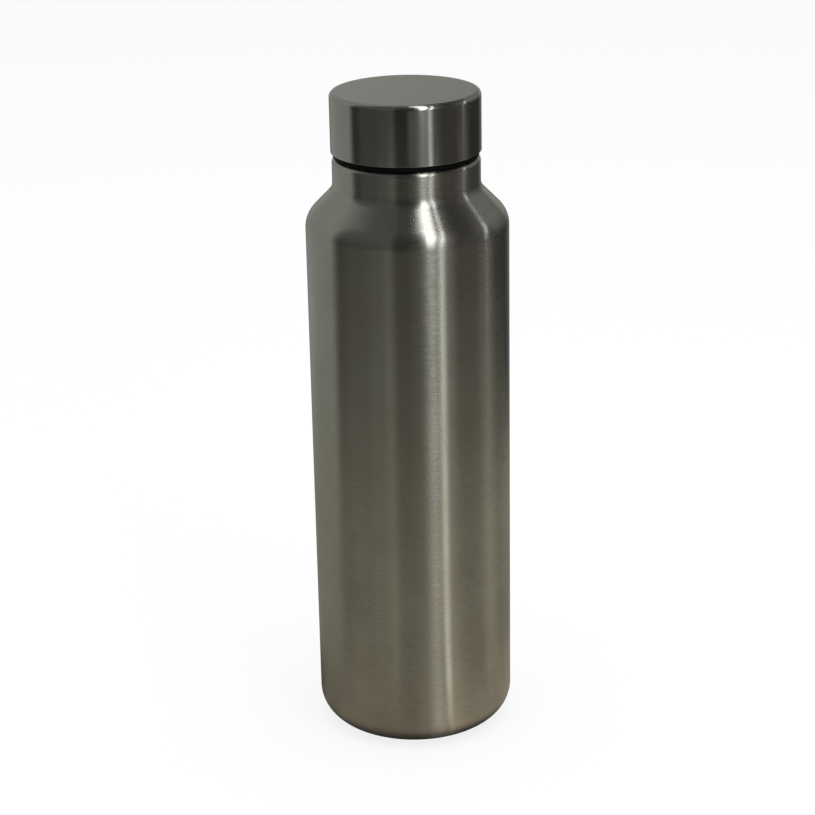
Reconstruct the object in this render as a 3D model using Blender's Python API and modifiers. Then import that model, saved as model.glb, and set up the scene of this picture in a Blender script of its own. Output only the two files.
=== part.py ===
"""Single-wall stainless steel water bottle with a screw cap, in metres, +Z up.

The bottle stands on its base ring at z = 0, centred on the Z axis, with the cap screwed home. The body
is a drawn steel tube with a butt-welded base. The cap is a steel shell over a plastic liner, which
carries the thread and a silicone seal. Every piece is turned about the Z axis, which is also the
cap's screw axis. The thread is right-handed: the cap rises one pitch for each turn about +Z.
"""

from math import acos, atan2, ceil, cos, hypot, pi, radians, sin, tan, tau

import bpy
from mathutils import Vector

# Bottle sizes, in metres
BODY_RADIUS = 0.036
WALL = 0.0005
LEDGE_HEIGHT = 0.2152
NECK_RADIUS = 0.0261
COLLAR_HEIGHT = 0.0108
LEDGE_EDGE_RADIUS = 0.0016
LEDGE_FOOT_RADIUS = 0.0009
SHOULDER_RADIUS = 0.0097
SHOULDER_FOOT_RADIUS = 0.0052
LIP_RADIUS = 0.0008

# Angle between the shoulder's slope and the horizontal
SHOULDER_SLOPE = radians(45.7)

# Base sizes
BASE_CORNER_RADIUS = 0.0109
BASE_SKIRT = 0.0024
BASE_RING_WIDTH = 0.0025
BASE_RECESS_DEPTH = 0.0025
BASE_RECESS_RUN = 0.0020
BASE_RECESS_FILLET = 0.0015

# Cap sizes
CAP_HEIGHT = 0.0211
CAP_WALL = 0.0005
CAP_OVERHANG = 0.00035
CAP_STANDOFF = 0.0022
CAP_EDGE_RADIUS = 0.0018
LINER_WALL = 0.00135
LINER_PLATE = 0.0025
LINER_EDGE_RADIUS = 0.0006
LINER_LEAD_IN = 0.0004
SEAL_RIB_WIDTH = 0.0014
SEAL_RIB_HEIGHT = 0.0018
SEAL_WIDTH = 0.0028
SEAL_THICKNESS = 0.0020
SEAL_EDGE_RADIUS = 0.0004

# Thread sizes
THREAD_PITCH = 0.004
THREAD_HEIGHT = 0.001
THREAD_WIDTH = 0.0034
THREAD_START = 0.0045
THREAD_MARGIN = 0.0003
THREAD_CLEARANCE = 0.00035
THREAD_RING_SPACING = 0.00085

# Turns over which a thread ridge fades in and out
THREAD_FADE_TURNS = 0.15

# Gap between touching pieces, and how close two points of an outline count as one
GAP = 0.0003
MERGE_DISTANCE = 0.00001

# Furthest that the straight steps of an arc may lie inside it
ARC_TOLERANCE = 0.0001

# Counts
SEGMENTS = 40
LIP_STEPS = 6

# Radii, from the neck inwards
CAP_RADIUS = NECK_RADIUS + CAP_OVERHANG
LINER_RADIUS = CAP_RADIUS - CAP_WALL - GAP
BORE_RADIUS = LINER_RADIUS - LINER_WALL
MOUTH_RADIUS = BORE_RADIUS - THREAD_HEIGHT - THREAD_CLEARANCE
SEAL_RADIUS = BORE_RADIUS - THREAD_CLEARANCE
SEAL_BORE_RADIUS = SEAL_RADIUS - SEAL_WIDTH
SEAL_RIB_RADIUS = SEAL_BORE_RADIUS - GAP

# Heights, from the base up and from the cap's top down
WELD_HEIGHT = BASE_CORNER_RADIUS + BASE_SKIRT
CAP_BOTTOM = LEDGE_HEIGHT + CAP_STANDOFF
CAP_TOP = CAP_BOTTOM + CAP_HEIGHT
LINER_BOTTOM = LEDGE_HEIGHT + GAP
LINER_TOP = CAP_TOP - CAP_WALL - GAP
PLATE_UNDERSIDE = LINER_TOP - LINER_PLATE
SEAL_TOP = PLATE_UNDERSIDE - GAP
SEAL_BOTTOM = SEAL_TOP - SEAL_THICKNESS
RIM_HEIGHT = SEAL_BOTTOM - GAP

# Thread places: the height of the first and last crest, and the turns between them
FIRST_CREST = LEDGE_HEIGHT + THREAD_START
LAST_CREST = RIM_HEIGHT - 2 * LIP_RADIUS - THREAD_MARGIN - THREAD_WIDTH / 2
THREAD_TURNS = (LAST_CREST - FIRST_CREST) / THREAD_PITCH


def arc(centre, radius, start, end, steps):
    """Points on a circle in the (radius, height) plane, from one angle to another."""
    angles = [start + (end - start) * step / steps for step in range(steps + 1)]
    return [Vector((centre[0] + radius * cos(a), centre[1] + radius * sin(a))) for a in angles]


def fillet(before, corner, after, radius):
    """The arc of this radius that rounds a corner between its two neighbours."""
    corner = Vector(corner)
    back = (Vector(before) - corner).normalized()
    on = (Vector(after) - corner).normalized()
    half = acos(max(-1.0, min(1.0, back.dot(on)))) / 2
    reach = radius / tan(half)
    centre = corner + (back + on).normalized() * hypot(radius, reach)
    first = corner + back * reach - centre
    last = corner + on * reach - centre
    start = atan2(first.y, first.x)
    turn = atan2(first.cross(last), first.dot(last))
    step = 2 * acos(1 - ARC_TOLERANCE / radius)
    return arc(centre, radius, start, start + turn, max(2, round(abs(turn) / step)))


def rounded(corners, closed=False):
    """An outline through corners given as (radius, height, fillet radius), each corner rounded."""
    points = []
    last = len(corners) - 1
    for index, (across, up, radius) in enumerate(corners):
        if radius == 0 or (index in (0, last) and not closed):
            found = [Vector((across, up))]
        else:
            before = corners[index - 1][:2]
            after = corners[(index + 1) % len(corners)][:2]
            found = fillet(before, (across, up), after, radius)
        points += [p for p in found if not points or (p - points[-1]).length > MERGE_DISTANCE]
    return points


def stretch(radius, start, end):
    """Points up or down a straight wall, close enough together to carry a thread ridge."""
    steps = max(1, round(abs(end - start) / THREAD_RING_SPACING))
    return [Vector((radius, start + (end - start) * step / steps)) for step in range(steps + 1)]


def turned(name, outline, material, closed=False):
    """An object whose outline a Screw modifier turns about the Z axis."""
    count = len(outline)
    edges = [(index, (index + 1) % count) for index in range(count if closed else count - 1)]
    mesh = bpy.data.meshes.new(name)
    mesh.from_pydata([(point.x, 0, point.y) for point in outline], edges, [])
    mesh.materials.append(material)
    piece = bpy.data.objects.new(name, mesh)
    bottle.objects.link(piece)
    screw = piece.modifiers.new("Turn", "SCREW")
    screw.axis = "Z"
    screw.angle = tau
    screw.steps = screw.render_steps = SEGMENTS
    screw.use_merge_vertices = True
    screw.merge_threshold = MERGE_DISTANCE
    screw.use_smooth_shade = True
    return piece


def made_real(piece):
    """Replaces an object's profile with the turned mesh, so that its points can be moved."""
    bpy.context.view_layer.update()
    graph = bpy.context.evaluated_depsgraph_get()
    mesh = bpy.data.meshes.new_from_object(piece.evaluated_get(graph))
    profile = piece.data
    piece.modifiers.clear()
    piece.data = mesh
    bpy.data.meshes.remove(profile)
    mesh.name = piece.name
    return mesh


def ridge(angle, height, first_crest):
    """How far a thread ridge stands here: 0 between the ridges and 1 on a crest."""
    tallest = 0.0
    for lap in range(ceil(THREAD_TURNS) + 1):
        turn = lap + angle / tau
        off_crest = abs(height - first_crest - turn * THREAD_PITCH)
        if turn > THREAD_TURNS or off_crest > THREAD_WIDTH / 2:
            continue
        fade = min(1.0, turn / THREAD_FADE_TURNS, (THREAD_TURNS - turn) / THREAD_FADE_TURNS)
        tallest = max(tallest, fade * (1 + cos(tau * off_crest / THREAD_WIDTH)) / 2)
    return tallest


def press_thread(mesh, wall_radius, first_crest, push):
    """Moves the points of a wall out or in along a helix, which makes its thread ridge."""
    for vertex in mesh.vertices:
        across = hypot(vertex.co.x, vertex.co.y)
        if abs(across - wall_radius) > MERGE_DISTANCE:
            continue
        angle = atan2(vertex.co.y, vertex.co.x) % tau
        scale = 1 + push * ridge(angle, vertex.co.z, first_crest) / across
        vertex.co.x *= scale
        vertex.co.y *= scale
    mesh.update()


def walled(piece, thickness):
    """Gives an open turned sheet its thickness, inwards from its outer face."""
    sheet = piece.modifiers.new("Wall", "SOLIDIFY")
    sheet.thickness = thickness
    sheet.offset = -1
    sheet.use_even_offset = True
    sheet.use_rim = True


def surface(name, colour, metallic, roughness):
    """A Principled material in the piece's own colour."""
    material = bpy.data.materials.new(name)
    material.use_nodes = True
    shader = material.node_tree.nodes["Principled BSDF"]
    shader.inputs["Base Color"].default_value = (*colour, 1)
    shader.inputs["Metallic"].default_value = metallic
    shader.inputs["Roughness"].default_value = roughness
    material.diffuse_color = (*colour, 1)
    return material


def make_body_tube(steel):
    """The drawn wall: straight side, shoulder, collar, ledge, threaded mouth and curled lip."""
    lip_centre = (MOUTH_RADIUS - LIP_RADIUS, RIM_HEIGHT - LIP_RADIUS)
    lip = arc(lip_centre, LIP_RADIUS, pi, 0, LIP_STEPS)
    thread_top = LAST_CREST + THREAD_WIDTH / 2
    thread_foot = FIRST_CREST - THREAD_WIDTH / 2
    thread_wall = stretch(MOUTH_RADIUS, thread_top, thread_foot)
    slope_foot = LEDGE_HEIGHT - COLLAR_HEIGHT
    slope_start = slope_foot - (BODY_RADIUS - NECK_RADIUS) * tan(SHOULDER_SLOPE)
    below = rounded(
        [
            (MOUTH_RADIUS, thread_foot, 0),
            (MOUTH_RADIUS, LEDGE_HEIGHT, LEDGE_FOOT_RADIUS),
            (NECK_RADIUS, LEDGE_HEIGHT, LEDGE_EDGE_RADIUS),
            (NECK_RADIUS, slope_foot, SHOULDER_FOOT_RADIUS),
            (BODY_RADIUS, slope_start, SHOULDER_RADIUS),
            (BODY_RADIUS, WELD_HEIGHT + GAP / 2, 0),
        ]
    )
    piece = turned("body_tube", lip + thread_wall + below[1:], steel)
    press_thread(made_real(piece), MOUTH_RADIUS, FIRST_CREST, THREAD_HEIGHT)
    walled(piece, WALL)


def make_base_cup(steel):
    """The stamped bottom: a short skirt, a round corner, the ring it stands on and a raised centre."""
    ring_outside = BODY_RADIUS - BASE_CORNER_RADIUS
    ring_inside = ring_outside - BASE_RING_WIDTH
    outline = rounded(
        [
            (BODY_RADIUS, WELD_HEIGHT - GAP / 2, 0),
            (BODY_RADIUS, 0, BASE_CORNER_RADIUS),
            (ring_inside, 0, BASE_RECESS_FILLET),
            (ring_inside - BASE_RECESS_RUN, BASE_RECESS_DEPTH, BASE_RECESS_FILLET),
            (0, BASE_RECESS_DEPTH, 0),
        ]
    )
    walled(turned("base_cup", outline, steel), WALL)


def make_cap_shell(steel):
    """The drawn steel cup that covers the cap: a flat top, a round edge and a straight side."""
    outline = rounded(
        [
            (0, CAP_TOP, 0),
            (CAP_RADIUS, CAP_TOP, CAP_EDGE_RADIUS),
            (CAP_RADIUS, CAP_BOTTOM, 0),
        ]
    )
    walled(turned("cap_shell", outline, steel), CAP_WALL)


def make_cap_liner(plastic):
    """The moulded liner: a threaded skirt that shows below the shell, and a plate that holds the seal."""
    top_edge_radius = CAP_EDGE_RADIUS - CAP_WALL - GAP
    thread_foot = FIRST_CREST - THREAD_PITCH / 2 - THREAD_WIDTH / 2
    thread_top = LAST_CREST - THREAD_PITCH / 2 + THREAD_WIDTH / 2
    rib_bore_radius = SEAL_RIB_RADIUS - SEAL_RIB_WIDTH
    rib_bottom = PLATE_UNDERSIDE - SEAL_RIB_HEIGHT
    outside = rounded(
        [
            (0, LINER_TOP, 0),
            (LINER_RADIUS, LINER_TOP, top_edge_radius),
            (LINER_RADIUS, LINER_BOTTOM, LINER_EDGE_RADIUS),
            (BORE_RADIUS + LINER_LEAD_IN, LINER_BOTTOM, 0),
        ]
    )
    thread_wall = stretch(BORE_RADIUS, thread_foot, thread_top)
    under_plate = [
        Vector((BORE_RADIUS, PLATE_UNDERSIDE)),
        Vector((SEAL_RIB_RADIUS, PLATE_UNDERSIDE)),
        Vector((SEAL_RIB_RADIUS, rib_bottom)),
        Vector((rib_bore_radius, rib_bottom)),
        Vector((rib_bore_radius, PLATE_UNDERSIDE)),
        Vector((0, PLATE_UNDERSIDE)),
    ]
    piece = turned("cap_liner", outside + thread_wall + under_plate, plastic)
    press_thread(made_real(piece), BORE_RADIUS, FIRST_CREST - THREAD_PITCH / 2, -THREAD_HEIGHT)


def make_seal_ring(silicone):
    """The flat ring that the mouth's lip presses against when the cap is home."""
    corners = [
        (SEAL_RADIUS, SEAL_TOP, SEAL_EDGE_RADIUS),
        (SEAL_RADIUS, SEAL_BOTTOM, SEAL_EDGE_RADIUS),
        (SEAL_BORE_RADIUS, SEAL_BOTTOM, SEAL_EDGE_RADIUS),
        (SEAL_BORE_RADIUS, SEAL_TOP, SEAL_EDGE_RADIUS),
    ]
    turned("seal_ring", rounded(corners, closed=True), silicone, closed=True)


for leftover in list(bpy.data.objects):
    bpy.data.objects.remove(leftover, do_unlink=True)

bottle = bpy.data.collections.new("steel_water_bottle")
bpy.context.scene.collection.children.link(bottle)

body_steel = surface("body_steel", (0.42, 0.41, 0.38), metallic=1.0, roughness=0.34)
cap_steel = surface("cap_steel", (0.40, 0.40, 0.38), metallic=1.0, roughness=0.30)
black_plastic = surface("black_plastic", (0.012, 0.012, 0.013), metallic=0.0, roughness=0.45)
clear_silicone = surface("clear_silicone", (0.72, 0.72, 0.70), metallic=0.0, roughness=0.55)

make_body_tube(body_steel)
make_base_cup(body_steel)
make_cap_shell(cap_steel)
make_cap_liner(black_plastic)
make_seal_ring(clear_silicone)
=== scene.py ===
# %% [markdown]
# A brushed steel water bottle with a screw cap
#
# This lesson dresses a plain working model of a single-wall steel bottle. The model's solids are
# right in size and place, but they are faceted and bare. Here each one is turned again as a fine,
# smooth piece, gets the finish of the real material, and stands in a small photographer's studio.
# Every new piece rides on the body that it belongs to, so the cap still unscrews.

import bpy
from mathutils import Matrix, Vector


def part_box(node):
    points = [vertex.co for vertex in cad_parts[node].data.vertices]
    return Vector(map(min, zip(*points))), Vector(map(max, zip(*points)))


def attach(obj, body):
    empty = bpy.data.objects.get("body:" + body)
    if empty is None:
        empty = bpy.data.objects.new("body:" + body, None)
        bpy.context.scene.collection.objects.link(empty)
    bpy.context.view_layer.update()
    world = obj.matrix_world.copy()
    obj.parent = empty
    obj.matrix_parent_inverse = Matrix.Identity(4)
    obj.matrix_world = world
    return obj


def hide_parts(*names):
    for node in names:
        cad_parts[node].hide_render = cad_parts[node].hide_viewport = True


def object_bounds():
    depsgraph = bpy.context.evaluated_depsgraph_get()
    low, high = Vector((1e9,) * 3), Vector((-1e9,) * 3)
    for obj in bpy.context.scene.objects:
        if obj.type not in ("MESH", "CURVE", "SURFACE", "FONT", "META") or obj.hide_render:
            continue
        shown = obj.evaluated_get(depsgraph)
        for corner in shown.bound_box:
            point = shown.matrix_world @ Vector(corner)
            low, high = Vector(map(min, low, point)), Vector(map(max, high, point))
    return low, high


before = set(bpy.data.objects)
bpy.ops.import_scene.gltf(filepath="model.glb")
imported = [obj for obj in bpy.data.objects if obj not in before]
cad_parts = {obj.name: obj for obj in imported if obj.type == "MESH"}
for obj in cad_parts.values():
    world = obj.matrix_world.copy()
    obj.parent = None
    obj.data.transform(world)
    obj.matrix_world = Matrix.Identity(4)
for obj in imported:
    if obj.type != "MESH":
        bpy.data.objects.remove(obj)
cad_low, cad_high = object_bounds()
print("CAD box in mm:", [round(1000 * size, 2) for size in cad_high - cad_low])

# %% [markdown]
# Sizes
#
# A real bottle is drawn from a drawing with a few sizes on it. The large ones are read from the
# frame, so this script can't drift away from the working model. The small ones, such as a wall or
# a fillet, don't show in a box, so they are given once here, in metres. Lengths that follow from
# others are worked out, never typed again.

# %% Read the main sizes from the frame
from math import asin, atan2, ceil, cos, degrees, pi, radians, sin, tan, tau

import bmesh
import bpy
from mathutils import Matrix, Quaternion, Vector

BODY_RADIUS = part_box("body_tube")[1].x
RIM_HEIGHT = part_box("body_tube")[1].z
CAP_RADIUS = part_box("cap_shell")[1].x
CAP_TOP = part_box("cap_shell")[1].z
CAP_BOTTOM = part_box("cap_shell")[0].z
LINER_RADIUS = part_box("cap_liner")[1].x
LINER_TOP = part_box("cap_liner")[1].z
LINER_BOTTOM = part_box("cap_liner")[0].z
SEAL_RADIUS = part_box("seal_ring")[1].x
SEAL_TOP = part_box("seal_ring")[1].z
SEAL_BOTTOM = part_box("seal_ring")[0].z
WELD_HEIGHT = (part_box("body_tube")[0].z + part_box("base_cup")[1].z) / 2
print("Body", round(2000 * BODY_RADIUS, 1), "mm wide, weld at", round(1000 * WELD_HEIGHT, 2), "mm")
print("Cap", round(2000 * CAP_RADIUS, 1), "mm wide,", round(1000 * (CAP_TOP - CAP_BOTTOM), 1), "mm tall")

# %% [markdown]
# Turned outlines
#
# Every piece of this bottle is round about one axis, as a thing that is spun, drawn or moulded on a
# core is. So each piece is an outline of its section, swung once round that axis. The outline could
# be a list of computed points, but here it is drawn as on paper: the last point is extruded to the
# next corner, and at a rounded corner it is turned step by step round the fillet's centre.
#
# While the outline grows, each point notes how far along it lies. The finishes use that distance,
# because brush marks run round the axis at an even spacing, also over the shoulder and the lid.

# %% Draw an outline with rounded corners
ARC_STEP = radians(5)
MERGE_DISTANCE = 1e-6


def extrude_to(sketch, path, place):
    """Extrudes the outline's last point to a new place."""
    path.append(bmesh.ops.extrude_vert_indiv(sketch, verts=[path[-1]])["verts"][0])
    path[-1].co = place


def turn_about(sketch, path, centre, angle):
    """Carries the outline's last point round a centre, leaving an arc behind."""
    steps = max(2, ceil(abs(angle) / ARC_STEP))
    step = Matrix.Rotation(angle / steps, 3, "Y")
    for _ in range(steps):
        extrude_to(sketch, path, path[-1].co)
        bmesh.ops.rotate(sketch, verts=path[-1:], cent=centre, matrix=step)


def draw_outline(corners, closed=False, start=0.0):
    """Draws (radius, height, fillet) corners as an outline that knows the distance along itself."""
    sketch = bmesh.new()
    along = sketch.verts.layers.float.new("along")
    places = [Vector((across, 0, up)) for across, up, _ in corners]
    count = len(corners)
    path = []
    for index, (across, up, fillet) in enumerate(corners):
        corner = places[index]
        arrive = (corner - places[index - 1]).normalized()
        leave = (places[(index + 1) % count] - corner).normalized()
        rounded = fillet > 0 and (closed or 0 < index < count - 1)
        turn = arrive.xz.angle_signed(leave.xz) if rounded else 0.0
        entry = corner - arrive * fillet * tan(abs(turn) / 2)
        if path:
            extrude_to(sketch, path, entry)
        else:
            path = bmesh.ops.create_vert(sketch, co=entry)["vert"]
        if rounded:
            side = Vector((arrive.z, 0, -arrive.x)) * (1 if turn > 0 else -1)
            turn_about(sketch, path, entry + side * fillet, turn)
    if closed:
        bmesh.ops.contextual_create(sketch, geom=[path[-1], path[0]])
    path[0][along] = start
    for before, point in zip(path, path[1:]):
        point[along] = before[along] + (point.co - before.co).length
    print("Outline of", len(path), "points,", round(1000 * (path[-1][along] - start), 1), "mm long")
    return sketch


# %% [markdown]
# From outline to piece
#
# Blender's Screw modifier could turn the outline, but the same step in mesh code, the spin operator,
# leaves a finished mesh that can be edited at once. Its seam is merged, and the ring of points that
# falls together where an outline meets the axis is merged too, so no pole stays open. The fine pieces
# have 192 steps round: at that count even a bottle's edge against white shows no corner.

# %% Spin an outline and make it an object
SPIN_STEPS = 192
SHARP_ANGLE = radians(35)


def spin_round(sketch):
    """Swings the outline once round the Z axis and closes the seam and the poles."""
    whole = sketch.verts[:] + sketch.edges[:]
    bmesh.ops.spin(sketch, geom=whole, cent=(0, 0, 0), axis=(0, 0, 1), angle=tau,
                   steps=SPIN_STEPS, use_merge=True)
    bmesh.ops.remove_doubles(sketch, verts=sketch.verts, dist=MERGE_DISTANCE)
    bmesh.ops.recalc_face_normals(sketch, faces=sketch.faces)
    return sketch


def make_piece(name, sketch, body, node):
    """Turns the mesh into an object that rides on a body and stands for one CAD node."""
    mesh = bpy.data.meshes.new(name)
    sketch.to_mesh(mesh)
    sketch.free()
    mesh.shade_smooth()
    mesh.set_sharp_from_angle(angle=SHARP_ANGLE)
    piece = bpy.data.objects.new(name, mesh)
    bpy.context.scene.collection.objects.link(piece)
    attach(piece, body)
    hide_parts(node)
    low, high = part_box(node)
    gap = max((Vector(piece.bound_box[6]) - high).length, (Vector(piece.bound_box[0]) - low).length)
    print(name, "has", len(mesh.polygons), "faces and departs", round(1000 * gap, 2), "mm from its node")
    return piece


# %% [markdown]
# The screw thread
#
# The mouth's thread is rolled into the steel: a wheel presses a helical bead out of the wall, which
# is why the inside of such a mouth shows the same groove. A helix could be swept and joined on, but
# then steel and thread would be two skins. Instead the wall gets many fine rings and its points are
# moved along the helix, as the wheel moves the metal. The liner of the cap is cut the same way, half
# a pitch lower and inwards, so the two threads interlock.

# %% Press a helical ridge into a wall
THREAD_PITCH = 0.004
THREAD_HEIGHT = 0.001
THREAD_WIDTH = 0.0034
THREAD_CLEARANCE = 0.00035
THREAD_START = 0.0045
THREAD_MARGIN = 0.0003
THREAD_FADE_TURNS = 0.15
THREAD_RING_SPACING = 0.00025
LIP_RADIUS = 0.0008
CAP_STANDOFF = 0.0022

LEDGE_HEIGHT = CAP_BOTTOM - CAP_STANDOFF
FIRST_CREST = LEDGE_HEIGHT + THREAD_START
LAST_CREST = RIM_HEIGHT - 2 * LIP_RADIUS - THREAD_MARGIN - THREAD_WIDTH / 2
THREAD_TURNS = (LAST_CREST - FIRST_CREST) / THREAD_PITCH
print("The thread has", round(THREAD_TURNS, 2), "turns")


def cut_rings(sketch, radius):
    """Divides the longest straight stretch of a wall into the fine rings that a thread needs."""
    wall = [e for e in sketch.edges if all(abs(v.co.x - radius) < MERGE_DISTANCE for v in e.verts)]
    longest = max(wall, key=lambda edge: edge.calc_length())
    cuts = ceil(longest.calc_length() / THREAD_RING_SPACING)
    bmesh.ops.subdivide_edges(sketch, edges=[longest], cuts=cuts)


def ridge(angle, height, first_crest):
    """How far the thread stands here: 0 between the turns and 1 on the crest."""
    tallest = 0.0
    for lap in range(ceil(THREAD_TURNS) + 1):
        turn = lap + angle / tau
        off_crest = abs(height - first_crest - turn * THREAD_PITCH)
        if turn < THREAD_TURNS and off_crest < THREAD_WIDTH / 2:
            fade = min(1.0, turn / THREAD_FADE_TURNS, (THREAD_TURNS - turn) / THREAD_FADE_TURNS)
            tallest = max(tallest, fade * (1 + cos(tau * off_crest / THREAD_WIDTH)) / 2)
    return tallest


def press_thread(sketch, wall_radius, first_crest, push):
    """Moves the points of a wall out or in along the helix."""
    for vertex in sketch.verts:
        if abs(vertex.co.xy.length - wall_radius) < MERGE_DISTANCE * 10:
            angle = Vector((1, 0)).angle_signed(vertex.co.xy, 0.0)
            reach = push * ridge(-angle % tau, vertex.co.z, first_crest)
            vertex.co.xy *= 1 + reach / wall_radius
    return sketch


# %% [markdown]
# The body
#
# The wall, shoulder, neck and mouth are one sheet of steel, drawn to a tube and then necked in. So
# this piece is one outline as well: from the lip that is curled inwards, down the threaded mouth,
# across the narrow ledge where the cap stops, and down over the neck's edge, the shoulder and the
# wall. The sheet gets its half millimetre at the end, inwards, so that the outside keeps its size.

# %% Turn the body
WALL = 0.0005
COLLAR_HEIGHT = 0.0108
LEDGE_EDGE_RADIUS = 0.0016
LEDGE_FOOT_RADIUS = 0.0009
SHOULDER_RADIUS = 0.0097
SHOULDER_FOOT_RADIUS = 0.0052
SHOULDER_SLOPE = radians(45.7)
CAP_OVERHANG = 0.00035
LIP_TAIL = 0.0004

NECK_RADIUS = CAP_RADIUS - CAP_OVERHANG
MOUTH_RADIUS = SEAL_RADIUS - THREAD_HEIGHT
SLOPE_FOOT = LEDGE_HEIGHT - COLLAR_HEIGHT
SLOPE_START = SLOPE_FOOT - (BODY_RADIUS - NECK_RADIUS) * tan(SHOULDER_SLOPE)


def make_steel_body():
    """The drawn tube, from the curled lip down to the weld."""
    lip_inside = MOUTH_RADIUS - 2 * LIP_RADIUS
    sketch = draw_outline([
        (lip_inside, RIM_HEIGHT - LIP_RADIUS - LIP_TAIL, 0),
        (lip_inside, RIM_HEIGHT, LIP_RADIUS),
        (MOUTH_RADIUS, RIM_HEIGHT, LIP_RADIUS),
        (MOUTH_RADIUS, LEDGE_HEIGHT, LEDGE_FOOT_RADIUS),
        (NECK_RADIUS, LEDGE_HEIGHT, LEDGE_EDGE_RADIUS),
        (NECK_RADIUS, SLOPE_FOOT, SHOULDER_FOOT_RADIUS),
        (BODY_RADIUS, SLOPE_START, SHOULDER_RADIUS),
        (BODY_RADIUS, WELD_HEIGHT, 0),
    ])
    cut_rings(sketch, MOUTH_RADIUS)
    press_thread(spin_round(sketch), MOUTH_RADIUS, FIRST_CREST, THREAD_HEIGHT)
    bmesh.ops.solidify(sketch, geom=sketch.faces[:], thickness=WALL)
    return make_piece("steel_body", sketch, "bottle", "body_tube")


steel_body = make_steel_body()

# %% [markdown]
# The base
#
# The bottom is a shallow stamped dish that is welded to the tube edge to edge. The weld is ground
# and brushed over, so nothing marks it from outside. The new base therefore meets the new body in
# one line, and its noted distances go on where the body's end. It stands on a narrow flat ring round
# a raised centre, as thin bottoms do, because a flat sheet would drum and rock.

# %% Turn the base
BASE_CORNER_RADIUS = 0.0109
BASE_RING_WIDTH = 0.0025
BASE_RECESS_DEPTH = 0.0025
BASE_RECESS_RUN = 0.002
BASE_RECESS_FILLET = 0.0015


def last_distance(piece):
    """The greatest distance that a piece's outline has noted."""
    return max(entry.value for entry in piece.data.attributes["along"].data)


def make_steel_base():
    """The stamped bottom, from the weld round the corner to the raised centre."""
    ring_inside = BODY_RADIUS - BASE_CORNER_RADIUS - BASE_RING_WIDTH
    sketch = draw_outline([
        (BODY_RADIUS, WELD_HEIGHT, 0),
        (BODY_RADIUS, 0, BASE_CORNER_RADIUS),
        (ring_inside, 0, BASE_RECESS_FILLET),
        (ring_inside - BASE_RECESS_RUN, BASE_RECESS_DEPTH, BASE_RECESS_FILLET),
        (0, BASE_RECESS_DEPTH, 0),
    ], start=last_distance(steel_body))
    bmesh.ops.solidify(spin_round(sketch), geom=sketch.faces[:], thickness=WALL)
    return make_piece("steel_base", sketch, "bottle", "base_cup")


steel_base = make_steel_base()

# %% [markdown]
# The cap's steel cover
#
# A drawn cup of thin steel covers the cap: a flat top, a generous rounded edge, and a straight side
# whose lower edge is trimmed and broken, so that it doesn't cut. The outline here is the whole
# section, outside and inside, because the trimmed edge then gets its two tiny fillets like any other
# corner. They matter: a thin line of light runs along that edge on the real cap.

# %% Turn the cap's cover
CAP_WALL = 0.0005
CAP_EDGE_RADIUS = 0.0018
TRIM_RADIUS = 0.00018


def make_cap_cover():
    """The steel cup over the cap."""
    inside = CAP_RADIUS - CAP_WALL
    sketch = draw_outline([
        (0, CAP_TOP, 0),
        (CAP_RADIUS, CAP_TOP, CAP_EDGE_RADIUS),
        (CAP_RADIUS, CAP_BOTTOM, TRIM_RADIUS),
        (inside, CAP_BOTTOM, TRIM_RADIUS),
        (inside, CAP_TOP - CAP_WALL, CAP_EDGE_RADIUS - CAP_WALL),
        (0, CAP_TOP - CAP_WALL, 0),
    ])
    return make_piece("cap_cover", spin_round(sketch), "cap", "cap_shell")


cap_cover = make_cap_cover()

# %% [markdown]
# The cap's liner
#
# Thin steel can't carry a thread that is opened every day, so the cover is snapped over a moulded
# plastic liner. Its lower edge is the black line between cap and neck. Inside it has the thread, the
# plate that closes the mouth, a rib that holds the seal, and the small dimple that the moulding gate
# leaves. They show as soon as the cap is off, so they are modelled and not painted.

# %% Mould the liner
LINER_EDGE_RADIUS = 0.0006
LINER_LEAD_IN = 0.0004
LINER_PLATE = 0.0025
GAP = 0.0003
SEAL_WIDTH = 0.0028
SEAL_RIB_WIDTH = 0.0014
SEAL_RIB_HEIGHT = 0.0018
MOULD_RADIUS = 0.0002
GATE_RADIUS = 0.0022
GATE_DEPTH = 0.0005

BORE_RADIUS = SEAL_RADIUS + THREAD_CLEARANCE
PLATE_UNDERSIDE = LINER_TOP - LINER_PLATE


def make_thread_liner():
    """The moulded liner, as one closed section from the top's centre to the plate's centre."""
    rib_outside = SEAL_RADIUS - SEAL_WIDTH - GAP
    rib_inside = rib_outside - SEAL_RIB_WIDTH
    rib_bottom = PLATE_UNDERSIDE - SEAL_RIB_HEIGHT
    sketch = draw_outline([
        (0, LINER_TOP, 0),
        (LINER_RADIUS, LINER_TOP, CAP_EDGE_RADIUS - CAP_WALL - GAP),
        (LINER_RADIUS, LINER_BOTTOM, LINER_EDGE_RADIUS),
        (BORE_RADIUS + LINER_LEAD_IN, LINER_BOTTOM, MOULD_RADIUS),
        (BORE_RADIUS, LINER_BOTTOM + LINER_LEAD_IN, MOULD_RADIUS),
        (BORE_RADIUS, PLATE_UNDERSIDE, MOULD_RADIUS),
        (rib_outside, PLATE_UNDERSIDE, MOULD_RADIUS),
        (rib_outside, rib_bottom, MOULD_RADIUS),
        (rib_inside, rib_bottom, MOULD_RADIUS),
        (rib_inside, PLATE_UNDERSIDE, MOULD_RADIUS),
        (GATE_RADIUS, PLATE_UNDERSIDE, MOULD_RADIUS),
        (GATE_RADIUS - GATE_DEPTH, PLATE_UNDERSIDE + GATE_DEPTH, MOULD_RADIUS),
        (0, PLATE_UNDERSIDE + GATE_DEPTH, 0),
    ])
    cut_rings(sketch, BORE_RADIUS)
    press_thread(spin_round(sketch), BORE_RADIUS, FIRST_CREST - THREAD_PITCH / 2, -THREAD_HEIGHT)
    return make_piece("thread_liner", sketch, "cap", "cap_liner")


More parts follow.
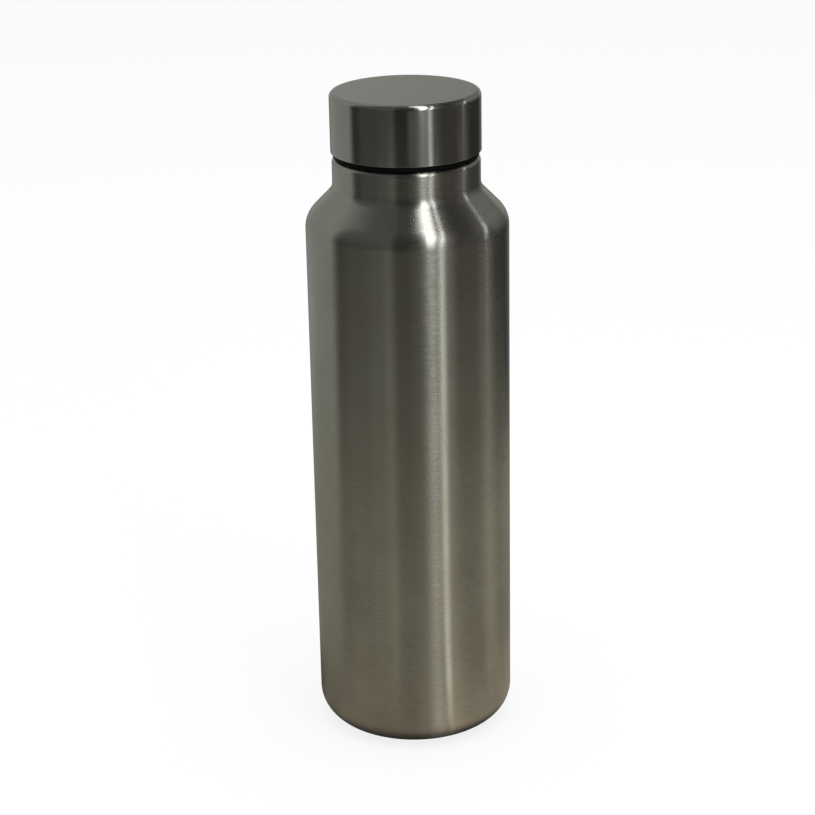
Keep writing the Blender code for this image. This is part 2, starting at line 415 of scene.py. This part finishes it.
thread_liner = make_thread_liner()

# %% [markdown]
# The seal
#
# A flat ring of milky silicone sits round the liner's rib, and the mouth's curled lip presses on it.
# A torus would be the quick stand-in, but the real ring is stamped or moulded flat, so its section
# is a rectangle with soft corners. It rides on its own body, which rises with the cap.

# %% Mould the seal
SEAL_EDGE_RADIUS = 0.0004


def make_seal():
    """The silicone ring."""
    inside = SEAL_RADIUS - SEAL_WIDTH
    sketch = draw_outline([
        (SEAL_RADIUS, SEAL_TOP, SEAL_EDGE_RADIUS),
        (SEAL_RADIUS, SEAL_BOTTOM, SEAL_EDGE_RADIUS),
        (inside, SEAL_BOTTOM, SEAL_EDGE_RADIUS),
        (inside, SEAL_TOP, SEAL_EDGE_RADIUS),
    ], closed=True)
    return make_piece("silicone_seal", spin_round(sketch), "seal", "seal_ring")


silicone_seal = make_seal()

# %% [markdown]
# Patterns that follow the turning
#
# Brush marks on a turned piece are long round the axis and very short along the outline. A noise
# texture gives them if its space is stretched that way. The place on the piece comes from Object
# coordinates for the slow direction and from the noted distance for the fast one. Unlike a texture
# wrapped round by angle, this has no seam at the back. Nearly all of a noise's values lie in the
# middle of its range, so that middle is spread over the values that a finish asks for.

# %% Lay out a stretched noise
NOISE_LOW = 0.3
NOISE_HIGH = 0.7


def add_node(material, kind, **settings):
    """Adds a node to a material and sets its properties."""
    node = material.node_tree.nodes.new(kind)
    for name, value in settings.items():
        setattr(node, name, value)
    return node


def join(material, source, target):
    """Links one socket to another."""
    material.node_tree.links.new(source, target)


def turned_place(material):
    """A position whose third value is the distance along the outline."""
    place = add_node(material, "ShaderNodeTexCoord")
    split = add_node(material, "ShaderNodeSeparateXYZ")
    noted = add_node(material, "ShaderNodeAttribute", attribute_name="along")
    merge = add_node(material, "ShaderNodeCombineXYZ")
    join(material, place.outputs["Object"], split.inputs[0])
    join(material, split.outputs["X"], merge.inputs["X"])
    join(material, split.outputs["Y"], merge.inputs["Y"])
    join(material, noted.outputs["Fac"], merge.inputs["Z"])
    return merge.outputs[0]


def stretched_noise(material, place, round_size, along_size, detail):
    """Noise whose features have one size round the axis and another along the outline, in metres."""
    scale = add_node(material, "ShaderNodeMapping")
    scale.inputs["Scale"].default_value = (1 / round_size, 1 / round_size, 1 / along_size)
    noise = add_node(material, "ShaderNodeTexNoise")
    noise.inputs["Scale"].default_value = 1.0
    noise.inputs["Detail"].default_value = detail
    join(material, place, scale.inputs["Vector"])
    join(material, scale.outputs[0], noise.inputs["Vector"])
    return noise.outputs["Fac"]


def spread(material, value, low, high, first=NOISE_LOW, last=NOISE_HIGH):
    """Maps a stretch of a noise's values to a range of values, and cuts off what lies outside."""
    change = add_node(material, "ShaderNodeMapRange")
    change.inputs["From Min"].default_value = first
    change.inputs["From Max"].default_value = last
    change.inputs["To Min"].default_value = low
    change.inputs["To Max"].default_value = high
    join(material, value, change.inputs["Value"])
    return change.outputs[0]


def add_up(material, first, second):
    """The sum of two values."""
    sum_node = add_node(material, "ShaderNodeMath", operation="ADD")
    join(material, first, sum_node.inputs[0])
    join(material, second, sum_node.inputs[1])
    return sum_node.outputs[0]


def blend_colours(material, value, first, second):
    """A colour that moves from one to another with a value."""
    mix = add_node(material, "ShaderNodeMix", data_type="RGBA")
    mix.inputs["A"].default_value = (*first, 1)
    mix.inputs["B"].default_value = (*second, 1)
    join(material, value, mix.inputs["Factor"])
    return mix.outputs["Result"]


def raise_surface(material, height, distance):
    """A bump of a height in metres."""
    bump = add_node(material, "ShaderNodeBump")
    bump.inputs["Distance"].default_value = distance
    join(material, height, bump.inputs["Height"])
    return bump.outputs["Normal"]


def new_material(name, **shader_values):
    """A material with its Principled shader, whose fixed values are set on the shader's own sockets."""
    material = bpy.data.materials.new(name)
    material.use_nodes = True
    shader = material.node_tree.nodes["Principled BSDF"]
    for socket, value in shader_values.items():
        shader.inputs[socket.replace("_", " ")].default_value = value
    return material, shader


# %% [markdown]
# Brushed steel
#
# The steel is brushed round the axis. Each mark is a tiny groove, and a field of grooves scatters
# light across itself but hardly along itself: a lamp becomes a long upright streak on the wall,
# while the edges of things beside it stay crisp. That is anisotropy, with the tangent running round
# the axis and turned by a quarter.
#
# Then come the marks that can be seen one by one. The long ones are a faint bump and also a little
# rougher or smoother than the steel round them. The short dashes only change the roughness: a bump
# that is short round the axis would fray the edges of every streak. Smudges and blotches from
# handling dull some patches and shift the tone from cool to warm. Each of these noises is given as
# its size round the axis, its size along the outline and its detail.

# %% Mix the brushed steel
MARKS = (0.030, 0.0004, 2)
DASHES = (0.0035, 0.0004, 1)
DASH_LOW = 0.52
DASH_HIGH = 0.75
SMUDGES = (0.035, 0.035, 4)
SMUDGE_SHARE = 0.55
BLOTCHES = (0.014, 0.010, 3)
SMOOTHER = 0.03
ROUGHER = 0.05
LINE_SHARE = 1 / 5


def brushed_steel(name, cool, warm, roughness, mark_depth, dash_strength):
    """Steel brushed round the axis."""
    material, shader = new_material(name, Metallic=1.0, Anisotropic=1.0, Anisotropic_Rotation=0.25)
    place = turned_place(material)
    marks = stretched_noise(material, place, *MARKS)
    hairs = stretched_noise(material, place, *DASHES)
    smudges = stretched_noise(material, place, *SMUDGES)
    blotches = stretched_noise(material, place, *BLOTCHES)
    wide_tone = spread(material, smudges, 0.0, SMUDGE_SHARE)
    close_tone = spread(material, blotches, 0.0, 1 - SMUDGE_SHARE)
    tone = add_up(material, wide_tone, close_tone)
    join(material, blend_colours(material, tone, cool, warm), shader.inputs["Base Color"])
    patches = spread(material, smudges, roughness - SMOOTHER, roughness + ROUGHER)
    dashes = spread(material, hairs, 0.0, dash_strength, DASH_LOW, DASH_HIGH)
    lines = spread(material, marks, -dash_strength * LINE_SHARE, dash_strength * LINE_SHARE)
    join(material, add_up(material, patches, add_up(material, dashes, lines)), shader.inputs["Roughness"])
    join(material, raise_surface(material, marks, mark_depth), shader.inputs["Normal"])
    tangent = add_node(material, "ShaderNodeTangent", direction_type="RADIAL", axis="Z")
    join(material, tangent.outputs[0], shader.inputs["Tangent"])
    return material


body_steel = brushed_steel(
    "body_steel_brushed", cool=(0.432, 0.441, 0.414), warm=(0.402, 0.382, 0.342),
    roughness=0.240, mark_depth=5e-6, dash_strength=0.07)
cap_side_steel = brushed_steel(
    "cap_side_brushed", cool=(0.39, 0.40, 0.385), warm=(0.405, 0.392, 0.37),
    roughness=0.162, mark_depth=4e-6, dash_strength=0.015)
steel_body.data.materials.append(body_steel)
steel_base.data.materials.append(body_steel)
cap_cover.data.materials.append(cap_side_steel)
print("Brushed steels:", body_steel.name, "and", cap_side_steel.name)

# %% [markdown]
# Satin steel
#
# The flat of the cap is finished another way: no marks can be told apart, it just shines softly. So
# it gets a very fine grain that runs no way in particular, and soft patches where fingers have been.
# Its colour is also much lighter than the side's, though both are one steel. That difference is
# painted light, a lighter top over a darker side. The flat shares its mesh with the cap's side, so
# its faces are found by the way they point.

# %% Mix the satin steel and give it to the top of the cap
SATIN_GRAIN = (0.0003, 0.0003, 2)
SATIN_GRAIN_DEPTH = 4e-6
TOUCHES = (0.012, 0.012, 3)
SATIN_SMOOTHER = 0.02
SATIN_ROUGHER = 0.03
FLAT_ENOUGH = 0.995


def satin_steel(name, cool, warm, roughness):
    """Steel with an even, soft shine."""
    material, shader = new_material(name, Metallic=1.0)
    place = turned_place(material)
    grain = stretched_noise(material, place, *SATIN_GRAIN)
    touches = stretched_noise(material, place, *TOUCHES)
    tone = spread(material, touches, 0.0, 1.0)
    patches = spread(material, touches, roughness - SATIN_SMOOTHER, roughness + SATIN_ROUGHER)
    join(material, blend_colours(material, tone, cool, warm), shader.inputs["Base Color"])
    join(material, patches, shader.inputs["Roughness"])
    join(material, raise_surface(material, grain, SATIN_GRAIN_DEPTH), shader.inputs["Normal"])
    return material


def is_on_top(polygon):
    """Whether a face of the cap's cover belongs to its flat top."""
    return polygon.normal.z > FLAT_ENOUGH and polygon.center.z > CAP_TOP - CAP_WALL / 2


# The top's colours are much lighter than the side's: painted light on the flat top, beside its real satin
# finish.
cap_top_steel_painted_lighter = satin_steel(
    "cap_top_satin_painted_lighter", cool=(0.57, 0.575, 0.55), warm=(0.58, 0.57, 0.54), roughness=0.38)
cap_cover.data.materials.append(cap_top_steel_painted_lighter)
flat = [polygon for polygon in cap_cover.data.polygons if is_on_top(polygon)]
for polygon in flat:
    polygon.material_index = 1
print(len(flat), "faces of the cap's top are satin")

# %% [markdown]
# Plastic and silicone
#
# The liner is black polypropylene from a lightly etched mould: very dark and matt, because its grain
# breaks up every reflection, with rubbed places that are a little smoother. The seal is milky
# silicone, which lets some light in and scatters it under the surface.

# %% Mix the plastic and the silicone
MOULD_GRAIN = (0.0004, 0.0004, 3)
MOULD_GRAIN_DEPTH = 1e-5
RUBBED = (0.009, 0.003, 3)
RUBBED_ROUGHNESS = 0.52
ETCHED_ROUGHNESS = 0.66
MILK = (0.005, 0.002, 3)
DUST = (0.0006, 0.0006, 2)
DUST_DEPTH = 1e-5
CLEAN_ROUGHNESS = 0.45
DUSTY_ROUGHNESS = 0.62


def moulded_plastic(name, dark, worn):
    """Black plastic with a fine mould grain."""
    material, shader = new_material(name, Specular_IOR_Level=0.06)
    place = turned_place(material)
    grain = stretched_noise(material, place, *MOULD_GRAIN)
    rubbed = stretched_noise(material, place, *RUBBED)
    tone = spread(material, rubbed, 0.0, 1.0)
    gloss = spread(material, rubbed, RUBBED_ROUGHNESS, ETCHED_ROUGHNESS)
    join(material, blend_colours(material, tone, dark, worn), shader.inputs["Base Color"])
    join(material, gloss, shader.inputs["Roughness"])
    join(material, raise_surface(material, grain, MOULD_GRAIN_DEPTH), shader.inputs["Normal"])
    return material


def soft_silicone(name, clear, milky):
    """Milky silicone."""
    material, shader = new_material(name, Subsurface_Weight=0.35, Subsurface_Scale=0.002)
    place = turned_place(material)
    milk = stretched_noise(material, place, *MILK)
    dust = stretched_noise(material, place, *DUST)
    tone = spread(material, milk, 0.0, 1.0)
    gloss = spread(material, dust, CLEAN_ROUGHNESS, DUSTY_ROUGHNESS)
    join(material, blend_colours(material, tone, clear, milky), shader.inputs["Base Color"])
    join(material, gloss, shader.inputs["Roughness"])
    join(material, raise_surface(material, dust, DUST_DEPTH), shader.inputs["Normal"])
    return material


black_plastic = moulded_plastic(
    "black_plastic_moulded", dark=(0.0015, 0.0015, 0.002), worn=(0.003, 0.003, 0.003))
milky_silicone = soft_silicone(
    "clear_silicone_milky", clear=(0.68, 0.69, 0.67), milky=(0.76, 0.76, 0.74))
thread_liner.data.materials.append(black_plastic)
silicone_seal.data.materials.append(milky_silicone)
print("Plastic and silicone:", black_plastic.name, "and", milky_silicone.name)

# %% [markdown]
# The camera
#
# The camera stands 0.75 m in front of the bottle and 0.40 m above the floor, and looks down about
# 20 degrees, tipped by one degree, as a hand-held one is. Its long lens comes from the same fit of
# the bottle's outline that gave the model its sizes. The frame is square.

# %% Place the camera
CAMERA_PLACE = Vector((0, -0.75270, 0.40140))
CAMERA_YAW = radians(0.090)
CAMERA_PITCH = radians(-20.411)
CAMERA_ROLL = radians(-1.092)
SENSOR = 36.0
FOCAL_PIXELS = 2205.9
FRAME_PIXELS = 815

lens = bpy.data.cameras.new("camera")
lens.sensor_width = SENSOR
lens.lens = SENSOR * FOCAL_PIXELS / FRAME_PIXELS
camera = bpy.data.objects.new("camera", lens)
bpy.context.scene.collection.objects.link(camera)
camera.matrix_world = (
    Matrix.Translation(CAMERA_PLACE)
    @ Matrix.Rotation(CAMERA_YAW, 4, "Z")
    @ Matrix.Rotation(pi / 2 + CAMERA_PITCH, 4, "X")
    @ Matrix.Rotation(CAMERA_ROLL, 4, "Z")
)
bpy.context.scene.camera = camera
print("Lens", round(lens.lens, 1), "mm")

# %% [markdown]
# The floor and the white behind it
#
# The bottle stands on a plain pale floor. A floor that is only lit would turn grey towards the back,
# so about four fifths of what the camera, glossy and transmitted rays see of it is plain white, and
# the rest is the lit floor, which keeps the bottle's soft shadow. To the same rays the world is all
# white, while it lights things as a pale grey sky.

# %% Lay the floor and set the world
FLOOR_SIZE = 12.0
FLOOR_COLOUR = (0.86, 0.86, 0.86, 1)
FLOOR_ROUGHNESS = 0.9
WHITE_SHARE = 0.82
SKY_LEVEL = 0.8


def seen_directly(tree, share):
    """A value that is a share for rays that show a thing, and 0 for rays that only light with it."""
    path = tree.nodes.new("ShaderNodeLightPath")
    seen = path.outputs["Is Camera Ray"]
    for kind in ("Is Glossy Ray", "Is Transmission Ray"):
        either = tree.nodes.new("ShaderNodeMath")
        either.operation = "MAXIMUM"
        tree.links.new(seen, either.inputs[0])
        tree.links.new(path.outputs[kind], either.inputs[1])
        seen = either.outputs[0]
    scaled = tree.nodes.new("ShaderNodeMath")
    scaled.operation = "MULTIPLY"
    scaled.inputs[1].default_value = share
    tree.links.new(seen, scaled.inputs[0])
    return scaled.outputs[0]


def make_floor():
    """A wide pale floor at the height that the bottle stands on."""
    sheet = bmesh.new()
    bmesh.ops.create_grid(sheet, x_segments=1, y_segments=1, size=FLOOR_SIZE / 2)
    mesh = bpy.data.meshes.new("floor")
    sheet.to_mesh(mesh)
    sheet.free()
    floor = bpy.data.objects.new("floor", mesh)
    bpy.context.scene.collection.objects.link(floor)
    material, shader = new_material("floor_pale", Base_Color=FLOOR_COLOUR, Roughness=FLOOR_ROUGHNESS)
    tree = material.node_tree
    white = tree.nodes.new("ShaderNodeEmission")
    mix = tree.nodes.new("ShaderNodeMixShader")
    tree.links.new(seen_directly(tree, WHITE_SHARE), mix.inputs["Fac"])
    tree.links.new(shader.outputs[0], mix.inputs[1])
    tree.links.new(white.outputs[0], mix.inputs[2])
    tree.links.new(mix.outputs[0], tree.nodes["Material Output"].inputs["Surface"])
    mesh.materials.append(material)


def set_world():
    """A plain grey sky that shows as white."""
    world = bpy.data.worlds.new("studio")
    bpy.context.scene.world = world
    world.use_nodes = True
    tree = world.node_tree
    sky = tree.nodes["Background"]
    sky.inputs["Color"].default_value = (1, 1, 1, 1)
    sky.inputs["Strength"].default_value = SKY_LEVEL
    white = tree.nodes.new("ShaderNodeBackground")
    white.inputs["Color"].default_value = (1, 1, 1, 1)
    mix = tree.nodes.new("ShaderNodeMixShader")
    tree.links.new(seen_directly(tree, 1.0), mix.inputs["Fac"])
    tree.links.new(sky.outputs[0], mix.inputs[1])
    tree.links.new(white.outputs[0], mix.inputs[2])
    tree.links.new(mix.outputs[0], tree.nodes["World Output"].inputs["Surface"])


make_floor()
set_world()
print("The floor is", FLOOR_SIZE, "m wide and shows as", round(100 * WHITE_SHARE), "percent white")

# %% [markdown]
# A room for the steel to reflect
#
# A metal has hardly any look of its own: it shows what stands round it. So the studio has a round
# tent that only reflections see. It is a table top, the dark room beyond it, a wall and a ceiling,
# painted in upright panels that fade into each other. A panel lies between two directions, where 0
# is towards the camera and 90 is to the right, and has one level for each band from the bottle's
# foot to the middle of the ceiling. The tent's own outline lists a radius, a height and a band. On
# the brushed steel a panel becomes an upright stripe. The foot of the bottle finds the near bands in
# it, the top of the wall the far ones, and the neck and the cap look right across the table. The
# shoulder tilts up, so it finds the wall and the ceiling.
#
# Close to the bottle a mirrored direction is met a little too early, because the wall that mirrors
# it stands beside the axis. SIDESTEP turns the near bands to match, so that a stripe runs straight
# down. The table glows warm, the room cool, and its right side a little rosy. A ring of shade lies on
# the table right round the bottle's foot.
#
# The levels could be painted into an image by hand, but then nobody could read or change them. As a
# short table they stay plain, and the fading is left to an interpolation round the circle.

# %% Paint the tent's panels
from numpy import interp

TENT_LIFT = 0.0004
WARM_LIGHT = (1.16, 1.0, 0.76)
TABLE_LIGHT = (1.07, 1.0, 0.78)
COOL_LIGHT = (0.96, 1.0, 0.92)
ROSE_LIGHT = (1.05, 0.98, 0.93)
ROSE_SIDE = (45, 112)
SHADE_LEVEL = 0.04
NEAR, TABLE, FAR, ACROSS, WALL_FOOT, UPPER_WALL, CEILING, SKYLIGHT, SHADE = range(9)
SIDESTEP = 0.5

TENT_OUTLINE = [
    (0.0285, TENT_LIFT, SHADE), (0.034, TENT_LIFT, SHADE),
    (0.040, TENT_LIFT, NEAR), (0.07, TENT_LIFT, NEAR),
    (0.08, TENT_LIFT, TABLE), (0.11, TENT_LIFT, TABLE), (0.16, TENT_LIFT, TABLE),
    (0.23, TENT_LIFT, TABLE), (0.33, TENT_LIFT, TABLE),
    (0.37, TENT_LIFT, FAR), (0.73, TENT_LIFT, FAR),
    (0.83, TENT_LIFT, ACROSS), (1.5, TENT_LIFT, ACROSS), (1.5, 0.08, ACROSS),
    (1.5, 0.12, WALL_FOOT), (1.5, 0.47, WALL_FOOT),
    (1.5, 0.53, UPPER_WALL), (1.5, 1.4, UPPER_WALL),
    (1.44, 1.4, CEILING), (0.63, 1.4, CEILING),
    (0.57, 1.4, SKYLIGHT), (0.001, 1.4, SKYLIGHT),
]

PANELS = {
    "back left": (-172, -158, [0.03, 0.22, 0.30, 0.24, 0.40, 0.36, 0.42, 0.25]),
    "left wall": (-148, -138, [0.05, 0.27, 0.40, 0.38, 0.36, 0.38, 0.36, 0.23]),
    "left wall's edge": (-115, -95, [0.19, 0.31, 0.38, 0.37, 0.36, 0.42, 0.35, 0.26]),
    "corner": (-86, -80, [0.27, 0.29, 0.05, 0.05, 0.05, 0.12, 0.13, 0.11]),
    "dark room": (-70, -50, [0.29, 0.32, 0.09, 0.09, 0.06, 0.13, 0.13, 0.11]),
    "open door": (-42, -31, [0.27, 0.34, 0.15, 0.08, 0.08, 0.14, 0.14, 0.08]),
    "door post": (-25, -21, [0.28, 0.37, 0.28, 0.05, 0.12, 0.14, 0.15, 0.06]),
    "behind the camera": (-14, 0, [0.28, 0.29, 0.09, 0.02, 0.01, 0.06, 0.07, 0.05]),
    "beside the window": (7, 13, [0.34, 0.30, 0.05, 0.22, 0.01, 0.04, 0.08, 0.06]),
    "window": (25, 30, [0.50, 0.45, 0.40, 0.12, 0.18, 0.62, 0.55, 0.10]),
    "window's bar": (32, 34.5, [0.42, 0.34, 0.30, 0.32, 0.20, 0.30, 0.40, 0.10]),
    "window's bright side": (37, 39.5, [0.66, 1.20, 1.35, 0.25, 0.60, 1.2, 0.80, 0.10]),
    "curtain": (43, 49, [0.52, 0.46, 0.26, 0.06, 0.10, 0.34, 0.25, 0.12]),
    "right of the window": (57, 61, [0.44, 0.38, 0.07, 0.07, 0.04, 0.14, 0.13, 0.15]),
    "right side": (66, 84, [0.39, 0.34, 0.06, 0.06, 0.12, 0.08, 0.06, 0.20]),
    "pale cupboard": (91, 106, [0.36, 0.46, 0.20, 0.08, 0.10, 0.18, 0.07, 0.25]),
    "back right": (115, 145, [0.38, 0.34, 0.05, 0.03, 0.18, 0.29, 0.10, 0.45]),
    "back": (155, 170, [0.30, 0.30, 0.20, 0.18, 0.40, 0.22, 0.08, 0.4]),
}


def panel_level(direction, band):
    """The tent's level in a direction, faded from one panel to the next."""
    edges = [edge for first, last, _ in PANELS.values() for edge in (first, last)]
    levels = [tones[band] for _, _, tones in PANELS.values() for _ in range(2)]
    return interp(direction, edges, levels, period=360)


def paint_tent(sketch, band_layer):
    """Gives each point of the tent the colour that it glows with."""
    glow = sketch.verts.layers.float_color.new("glow")
    for vertex in sketch.verts:
        band = vertex[band_layer]
        around = atan2(vertex.co.x, -vertex.co.y)
        direction = degrees(around + SIDESTEP * BODY_RADIUS / vertex.co.xy.length * sin(around))
        level = SHADE_LEVEL if band == SHADE else panel_level(direction, band)
        rosy = ROSE_SIDE[0] < direction < ROSE_SIDE[1]
        tint = {NEAR: WARM_LIGHT, TABLE: TABLE_LIGHT}.get(band, ROSE_LIGHT if rosy else COOL_LIGHT)
        vertex[glow] = (*(level * part for part in tint), 1)


print("The wall behind the camera glows with a level of", round(float(panel_level(0, UPPER_WALL)), 2))
print("The table in front of the dark room glows with", round(float(panel_level(-60, TABLE)), 2))

# %% [markdown]
# Raising the tent
#
# The tent is turned like every piece of the bottle, so its outline has a corner wherever a band
# begins or ends. Its faces glow, and nothing lights with them: they are found only by reflected
# rays, so they neither block the view from another side nor shade the floor.

# %% Turn the tent and let it glow
def raise_tent():
    """The painted tent, seen in reflections only."""
    sketch = draw_outline([(across, up, 0) for across, up, _ in TENT_OUTLINE])
    band_layer = sketch.verts.layers.int.new("band")
    for vertex, (_, _, band) in zip(sketch.verts, TENT_OUTLINE):
        vertex[band_layer] = band
    paint_tent(spin_round(sketch), sketch.verts.layers.int["band"])
    mesh = bpy.data.meshes.new("reflected_room")
    sketch.to_mesh(mesh)
    sketch.free()
    tent = bpy.data.objects.new("reflected_room", mesh)
    bpy.context.scene.collection.objects.link(tent)
    material, shader = new_material("reflected_room")
    painted = add_node(material, "ShaderNodeAttribute", attribute_name="glow")
    glow = add_node(material, "ShaderNodeEmission")
    join(material, painted.outputs["Color"], glow.inputs["Color"])
    join(material, glow.outputs[0], material.node_tree.nodes["Material Output"].inputs["Surface"])
    material.node_tree.nodes.remove(shader)
    material.cycles.emission_sampling = "NONE"
    mesh.materials.append(material)
    tent.visible_camera = tent.visible_diffuse = tent.visible_shadow = False
    print("The tent has", len(mesh.polygons), "faces")


raise_tent()

# %% [markdown]
# Lamps
#
# Three long lamps lean over the bottle: a broad one that starts low in front and ends beyond the
# zenith, a slim one to the right of it, and a thin one far to the right. The first two are the two
# white lines on the shoulder and on the lid's edge, and what the brushing spreads of them makes the
# bright stripes down the wall. The third draws the thin line near the right edge. Such a lamp is
# placed by what the bottle sees: the direction in which its line would meet the horizon, its lean,
# its lowest and highest point, and how wide it looks. A fourth, large and soft, lights what isn't
# metal. It is left out of reflections, because it would draw a line along every rounded edge.

# %% Hang the lamps
LAMP_DISTANCE = 0.8
OVERHEAD_HEIGHT = 1.4
OVERHEAD_SIZE = 1.4
OVERHEAD_POWER = 9.0


def add_lamp(name, size, height, power):
    """A rectangular lamp that the camera doesn't see."""
    data = bpy.data.lights.new(name, "AREA")
    data.shape = "RECTANGLE"
    data.size = size
    data.size_y = height
    data.energy = power
    lamp = bpy.data.objects.new(name, data)
    bpy.context.scene.collection.objects.link(lamp)
    lamp.visible_camera = False
    return lamp


def lean_lamp(name, foot, lean, lowest, highest, across, level):
    """A long lamp over the bottle, all angles in degrees, that shows a given level."""
    middle = radians(lowest + highest) / 2
    direction = radians(foot) + asin(tan(radians(lean)) * tan(middle))
    away = Vector((sin(direction) * cos(middle), -cos(direction) * cos(middle), sin(middle)))
    width = 2 * LAMP_DISTANCE * tan(radians(across) / 2)
    length = 2 * LAMP_DISTANCE * tan(radians(highest - lowest) / 2)
    lamp = add_lamp(name, width, length, level * pi * width * length)
    lamp.location = (cad_low + cad_high) / 2 + away * LAMP_DISTANCE
    lamp.rotation_mode = "QUATERNION"
    roll = Quaternion((0, 0, 1), -asin(sin(radians(lean)) / cos(middle)))
    lamp.rotation_quaternion = away.to_track_quat("Z", "Y") @ roll
    print(name, "is", round(width, 3), "by", round(length, 3), "m")


lean_lamp("broad_lamp", foot=22.5, lean=7.5, lowest=12, highest=96, across=10, level=2.9)
lean_lamp("slim_lamp", foot=33.2, lean=13, lowest=3, highest=66, across=2.6, level=3.1)
lean_lamp("edge_lamp", foot=92, lean=22, lowest=1, highest=40, across=3.4, level=1.3)
overhead = add_lamp("overhead_softbox", OVERHEAD_SIZE, OVERHEAD_SIZE, OVERHEAD_POWER)
overhead.location.z = OVERHEAD_HEIGHT
overhead.visible_glossy = False

# %% [markdown]
# Colours on the screen
#
# The colours go to the screen as they are.

# %% Show the colours as they are
bpy.context.scene.view_settings.view_transform = "Standard"
